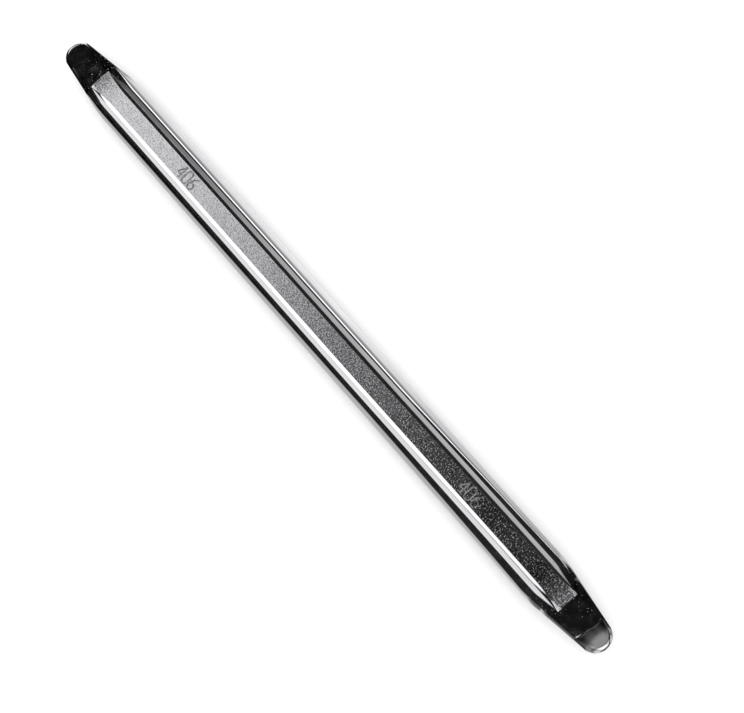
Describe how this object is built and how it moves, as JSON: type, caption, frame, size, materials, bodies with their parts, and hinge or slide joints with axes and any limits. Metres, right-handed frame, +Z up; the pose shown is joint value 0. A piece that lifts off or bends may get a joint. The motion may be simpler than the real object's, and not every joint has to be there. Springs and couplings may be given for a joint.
{
  "type": "pry bar",
  "caption": "Straight double-ended forged lever, chrome plated, with a long shallow recess in each face, rounded sides and a thin rounded spoon tip at each end.",
  "frame": {"origin": "middle of the underside, on the surface that the bar rests on", "axes": "+X along the bar, in the direction in which the raised figures read; +Y across it, towards the tops of the figures; +Z up, out of the face with the long recess"},
  "size_m": [0.4064, 0.0254, 0.0127],
  "materials": {
    "chrome": "bright nickel-chrome plate, polished on the rims, sides and tips, grained as forged in the recesses"
  },
  "bodies": {
    "root": {"forged_bar": "chrome"}
  },
  "joints": []
}
